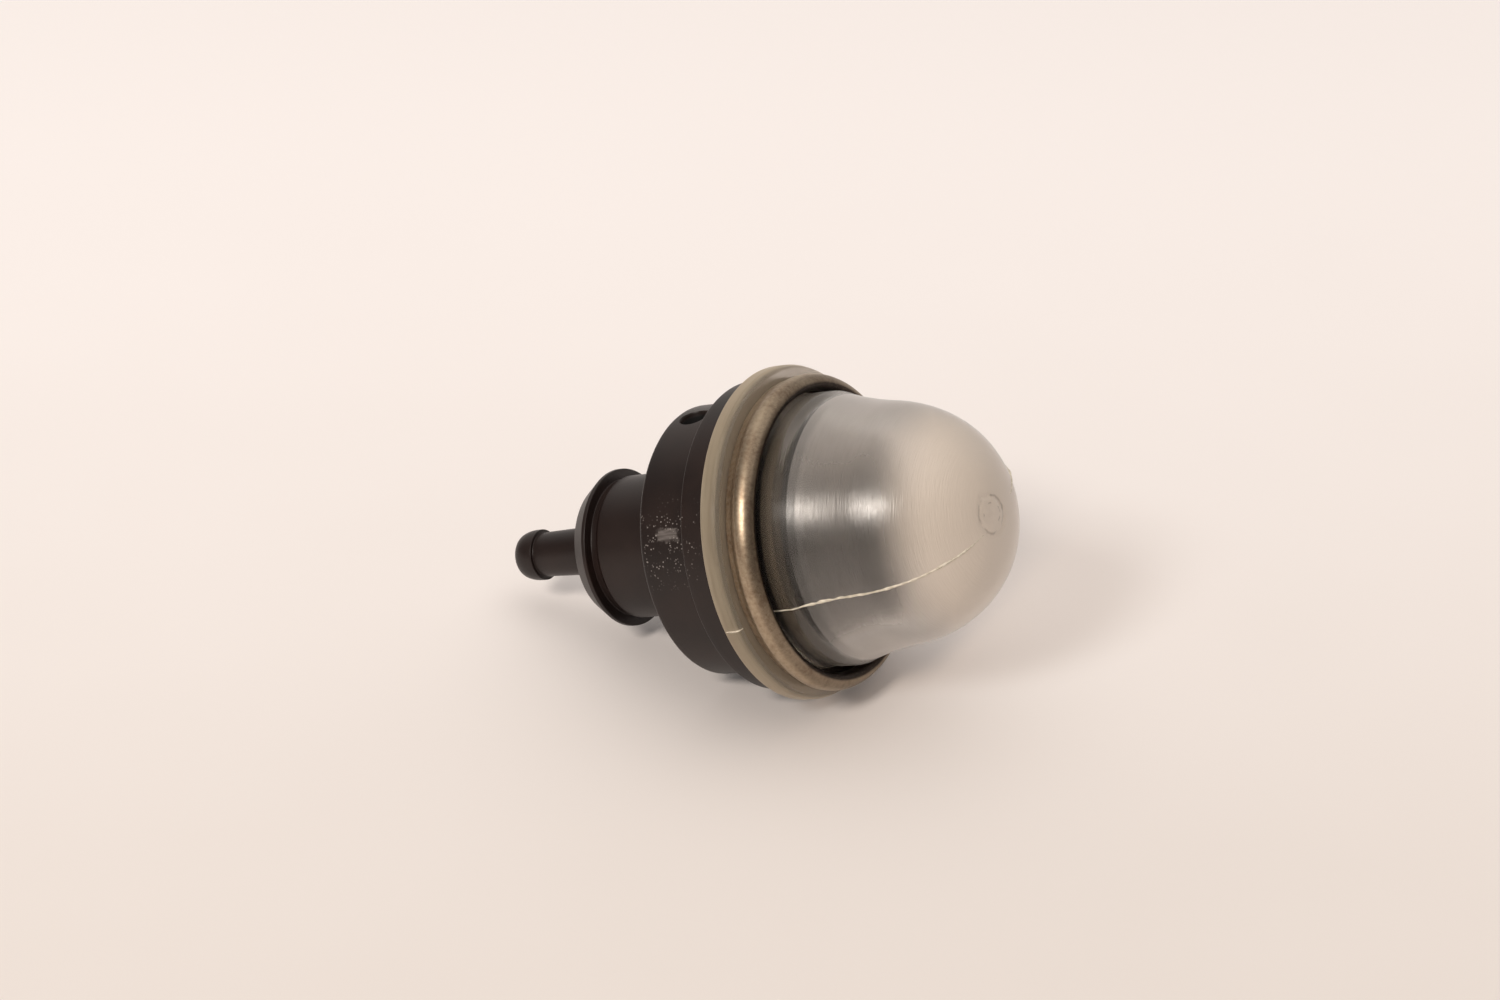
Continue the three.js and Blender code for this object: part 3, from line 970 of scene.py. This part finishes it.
@dataclass
class Bulb:
    """The squeezed dome with its skirt and flange, the mould's flash and the gate mark, in millimetres."""

    flange_r: float = 12.25
    flange_t: float = 1.4
    skirt_r: float = 10.0
    skirt_top: float = 4.7
    shoulder: tuple[float, float] = (-0.45, 1.0)
    waist_z: float = 9.4
    nose_r: float = 8.98
    nose_z: float = 7.6
    fullness: float = 2.2
    tip_z: float = 17.56
    wall: float = 1.3
    parting_roll_deg: float = 101.2
    gate_r: float = 1.0
    gate_roll_deg: float = 64.0
    gate_ring_r: float = 1.45
    segments: int = 256

    def wall_line(self, skirt_r: float, nose_r: float, length: float, steps: int) -> list[Corner]:
        """Gives one wall line from the skirt's top to the axis.

        Args:
            skirt_r: The radius at the skirt.
            nose_r: The radius of the round nose.
            length: The nose's length.
            steps: How many pieces the nose has.

        Returns:
            Its points: a curve that narrows to the waist, then a round nose.
        """
        power = 2 / self.fullness
        waist = math.asin(((self.waist_z - self.nose_z) / length) ** (1 / power))
        nose = []
        for step in range(steps):
            angle = waist + (math.pi / 2 - waist) * step / steps
            nose.append((nose_r * math.cos(angle) ** power, self.nose_z + length * math.sin(angle) ** power))
        waist_r, waist_z = nose[0]
        reach = (waist_z - self.skirt_top) / 3
        slope = (nose_r / length) * ((waist_z - self.nose_z) / length) ** (self.fullness - 1)
        hold = [
            Vector((skirt_r, self.skirt_top)),
            Vector((skirt_r + self.shoulder[0], self.skirt_top + self.shoulder[1])),
            Vector((waist_r + slope * reach, waist_z - reach)),
            Vector((waist_r, waist_z)),
        ]
        taper = []
        for step in range(16):
            share = step / 16
            weights = [(1 - share) ** 3, 3 * share * (1 - share) ** 2, 3 * share ** 2 * (1 - share), share ** 3]
            point = sum((spot * weight for spot, weight in zip(hold, weights)), Vector((0.0, 0.0)))
            taper.append((point.x, point.y))
        line = [Corner(r, z) for r, z in taper + nose]
        return [*line, Corner(0.0, self.nose_z + length)]

    def outside(self) -> list[Corner]:
        """Lists the outer outline from the flange's back to the tip."""
        return [
            Corner(self.flange_r, 0.0, 0.12),
            Corner(self.flange_r, self.flange_t - 0.5, 0.3),
            Corner(self.flange_r - 0.18, self.flange_t, 0.3),
            Corner(self.skirt_r, self.flange_t, 0.3),
            *self.wall_line(self.skirt_r, self.nose_r, self.tip_z - self.nose_z, 64),
        ]

    def inside(self) -> list[Corner]:
        """Lists the inner outline from the tip down to the flange's back."""
        length = self.tip_z - self.nose_z - self.wall
        line = self.wall_line(self.skirt_r - self.wall, self.nose_r - self.wall, length, 48)
        return [*reversed(line), Corner(self.skirt_r - self.wall, 0.0, 0.1)]

    def mark_gate(self, point: Vector) -> Vector:
        """Presses the gate's ring and its scribbles into the outside, and makes the wall a little uneven.

        Args:
            point: A point of the mesh, in millimetres.

        Returns:
            Its new place.
        """
        if point.z < 2.5:
            return point
        outward = Vector((point.x, point.y, 0.35 * max(point.z - self.nose_z, 0.0))).normalized()
        uneven = 0.03 * noise.noise(point * 0.22)
        centre = radial(self.gate_r, self.tip_z - 0.2, self.gate_roll_deg)
        away = (point - centre).length
        if away > 4.0:
            return point + outward * uneven
        inward = Vector((0.0, 0.0, -1.0))
        wobble = 0.3 * noise.noise(point * 1.3 + Vector((3.1, 0.0, 0.0)))
        ring = math.exp(-((away - self.gate_ring_r - wobble) / 0.12) ** 2)
        dimple = max(0.0, 1 - away / 1.5) * noise.noise(point * 2.4)
        return point + outward * uneven + inward * (0.09 * ring + 0.06 * dimple)

    def flash_line(self, start: int, stop: int, path: Outline, roll_deg: float, tall: float) -> bpy.types.Object:
        """Makes a thin proud line along the outside.

        Args:
            start: The path's first point.
            stop: The path's end.
            path: The outside's points.
            roll_deg: The roll at which it runs.
            tall: Its greatest height.

        Returns:
            The line.
        """
        spots = path[start:stop]
        vertices: list[Vector] = []
        faces: list[tuple[int, ...]] = []
        side = radial(1.0, 0.0, roll_deg + 90)
        for number, (r, z) in enumerate(spots):
            before = spots[max(number - 1, 0)]
            after = spots[min(number + 1, len(spots) - 1)]
            run = Vector((after[0] - before[0], after[1] - before[1])).normalized()
            out = radial(run.y, -run.x, roll_deg)
            seed = Vector((z * 2.4, r * 1.1, roll_deg))
            rough_start = math.exp(-((z - 7.0) / 2.4) ** 2)
            beads = 0.8 + (0.35 + 0.6 * rough_start) * noise.noise(seed)
            ends = min(1.0, number / 4, (len(spots) - 1 - number) / 30) * 0.9 + 0.1
            width = (0.05 + 0.05 * min(1.0, max(0.0, z - 5.2)) if z > 2.0 else 0.1) * beads * (0.5 + 0.5 * ends)
            height = tall * beads * ends
            middle = radial(r, z, roll_deg) + side * ((0.04 + 0.05 * rough_start) * noise.noise(seed * 0.6))
            for across, up in ((-1.3, -0.04), (-0.7, height * 0.7), (0.0, height), (0.7, height * 0.7), (1.3, -0.04)):
                vertices.append((middle + side * (across * width) + out * up) * MM)
            if number:
                first = 5 * (number - 1)
                for edge in range(5):
                    along = (edge + 1) % 5
                    faces.append((first + edge, first + along, first + 5 + along, first + 5 + edge))
        faces.append((0, 1, 2, 3, 4))
        last = 5 * (len(spots) - 1)
        faces.append((last + 4, last + 3, last + 2, last + 1, last))
        return new_object("parting_flash", vertices, faces)

    def build(self) -> None:
        """Makes and dresses the bulb and its flash."""
        outline = spaced(filleted([*self.outside(), *self.inside()]), 0.3)
        piece = turned("bulb_moulding", outline, self.segments)
        reshape(piece, self.mark_gate)
        soften(piece)
        settle(piece, new_material("cloudy_clear", CloudyClear().shade), Slot.CLEAR_PLASTIC, "bulb")
        path = [(r, z) for r, z in spaced(filleted([*self.outside(), Corner(0.0, 0.0)]), 0.12) if r > 2.4]
        face = [number for number, (r, z) in enumerate(path) if r > 11.62 and z < self.flange_t + 0.01 and z > 0.1]
        dome = [number for number, (r, z) in enumerate(path) if z > 2.2]
        white = new_material("flash_white", FlashWhite().shade)
        for number, (spots, turn, tall) in enumerate((
            (face, 0, 0.05), (dome, 0, 0.07), (face, 180, 0.05), (dome, 180, 0.16),
        )):
            line = self.flash_line(spots[0], spots[-1], path, self.parting_roll_deg + turn, tall)
            line.name = f"parting_flash_{number + 1}"
            soften(line, 60.0)
            settle(line, white, Slot.CLEAR_PLASTIC)


@dataclass
class RetainingRing:
    """The rolled metal ring that holds the flange down, in millimetres."""

    foot_z: float = 1.43
    foot_t: float = 0.35
    foot_r: float = 10.12
    bead_r: float = 10.93
    bead_z: float = 2.93
    bead_half_r: float = 0.64
    bead_half_z: float = 0.88
    lean: float = 0.14
    aside: float = 0.26
    aside_roll_deg: float = 105.0
    segments: int = 256

    def dent(self, point: Vector) -> Vector:
        """Makes the bead a little uneven and sets it off the axis, as pressing did."""
        share = min(1.0, max(0.0, (point.z - self.foot_z - self.foot_t) / 0.8))
        return point * (1 + 0.0012 * noise.noise(point * 0.35)) + radial(self.aside * share, 0.0, self.aside_roll_deg)

    def build(self) -> None:
        """Makes and dresses the ring."""
        bead = arc((self.bead_r, self.bead_z), (self.bead_half_r, self.bead_half_z), (-62, 228), 40)
        corners = [
            Corner(self.foot_r, self.foot_z, 0.05),
            Corner(self.bead_r + 0.25, self.foot_z, 0.2),
            *(Corner(spot.r - self.lean * (spot.z - self.bead_z), spot.z) for spot in bead),
            Corner(self.bead_r - 0.45, self.foot_z + self.foot_t, 0.1),
            Corner(self.foot_r, self.foot_z + self.foot_t, 0.05),
        ]
        piece = turned("retaining_ring_pressing", spaced(filleted(corners), 0.3), self.segments)
        reshape(piece, self.dent)
        soften(piece, 40.0)
        settle(piece, new_material("aged_nickel", AgedNickel().shade), Slot.RING_METAL, "retaining_ring")


@dataclass
class Viewpoint:
    """The camera, at the photograph's angle, with lengths in millimetres."""

    turn_deg: float = 28.23
    height_deg: float = 27.8
    aim_mm: tuple[float, float, float] = (3.1026, 0.0, 11.5625)
    aside_mm: float = -3.19
    above_mm: float = 2.37
    away_mm: float = 350.0
    lens_mm: float = 114.83

    def axes(self) -> Matrix:
        """Gives the camera's right, up and backward directions as columns."""
        turn = math.radians(self.turn_deg)
        height = math.radians(self.height_deg)
        right = Vector((math.cos(turn), math.sin(turn), 0.0))
        back = Vector((math.sin(turn) * math.cos(height), -math.cos(turn) * math.cos(height), math.sin(height)))
        return Matrix((right, back.cross(right), back)).transposed()

    def direction(self, right: float, up: float, toward: float) -> Vector:
        """Gives the frame's direction for one given by the camera's axes."""
        return (self.axes() @ Vector((right, up, toward))).normalized()

    def build(self) -> None:
        """Makes the camera and looks through it."""
        axes = self.axes()
        spot = Vector(self.aim_mm) + axes @ Vector((self.aside_mm, self.above_mm, self.away_mm))
        view = bpy.data.cameras.new("camera")
        view.lens = self.lens_mm
        view.sensor_width = 36.0
        view.clip_start = 0.01
        camera = bpy.data.objects.new("camera", view)
        camera.matrix_world = Matrix.Translation(spot * MM) @ axes.to_4x4()
        bpy.context.scene.collection.objects.link(camera)
        bpy.context.scene.camera = camera
        LOG.info("camera at %s", tuple(round(value, 4) for value in camera.location))


@dataclass
class Studio:
    """The pale table, the lamp and the room's light."""

    table_half_m: float = 3.0
    key_watts: float = 8.65
    key_colour: tuple[float, float, float] = (1.0, 0.92, 0.84)
    key_away_m: float = 1.2
    key_side_m: float = 0.26
    room: Colour = (0.68, 0.637, 0.602, 1.0)
    near_ceiling: Colour = (0.62, 0.581, 0.548, 1.0)
    far_ceiling: Colour = (1.2, 1.124, 1.058, 1.0)
    dim_room: Colour = (0.1, 0.092, 0.088, 1.0)

    def lamp(self, name: str, direction: Vector, away_m: float, size_m: tuple[float, float], watts: float) -> None:
        """Adds a soft lamp that shines at the part.

        Args:
            name: Its name.
            direction: Where it stands, seen from the part.
            away_m: How far away it stands.
            size_m: Its width and height.
            watts: Its power.
        """
        light = bpy.data.lights.new(name, "AREA")
        light.shape = "RECTANGLE"
        light.size, light.size_y = size_m
        light.energy = watts
        light.color = self.key_colour
        lamp = bpy.data.objects.new(name, light)
        lamp.location = direction * away_m + Vector((0.0, 0.0, 0.011))
        lamp.rotation_euler = direction.to_track_quat("Z", "Y").to_euler()
        lamp.visible_transmission = False
        bpy.context.scene.collection.objects.link(lamp)
        LOG.info("%s: %.2f W", name, watts)

    def light_room(self) -> None:
        """Gives the room walls that are dim at the front and the right, and a ceiling that is bright at the back and
        dimmer in front.
        """
        world = bpy.data.worlds.new("room")
        world.use_nodes = True
        bpy.context.scene.world = world
        book = NodeBook(world.node_tree)
        way = book.node("ShaderNodeTexCoord", {}, {}).outputs["Generated"]
        x, y, z = book.parts(way)
        front = x * -0.5 + y * -0.85
        right = x.fade(0.3, 0.85)
        walls = book.tint((front.fade(0.0, 0.75) + right).least(1.0), self.room, self.dim_room)
        ceiling = book.tint(front.fade(-0.3, 0.6), self.far_ceiling, self.near_ceiling)
        glow = book.node("ShaderNodeBackground", {}, {"Color": book.tint(z.fade(0.68, 0.92), walls, ceiling)})
        book.node("ShaderNodeOutputWorld", {}, {"Surface": glow.outputs[0]})

    def build(self, view: Viewpoint) -> None:
        """Makes the table and lights it.

        Args:
            view: The camera, whose axes give the lamp's direction.
        """
        half = self.table_half_m
        corners = [(-half, -half, 0.0), (half, -half, 0.0), (half, half, 0.0), (-half, half, 0.0)]
        table = new_object("table", corners, [(0, 1, 2, 3)])
        table.data.materials.append(new_material("table_paper", TablePaper().shade))
        key = view.direction(-0.437, 0.257, 0.862)
        self.lamp("key_lamp", key, self.key_away_m, (self.key_side_m, self.key_side_m), self.key_watts)
        self.light_room()


def main() -> None:
    """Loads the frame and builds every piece."""
    logging.basicConfig(level=logging.INFO, format="%(name)s %(message)s")
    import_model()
    bpy.context.scene.view_settings.view_transform = "Standard"
    view = Viewpoint()
    view.build()
    for part in (PumpBody(), ValvePlate(), CheckValve(), Bulb(), RetainingRing()):
        part.build()
    Studio().build(view)


if __name__ == "__main__":
    main()
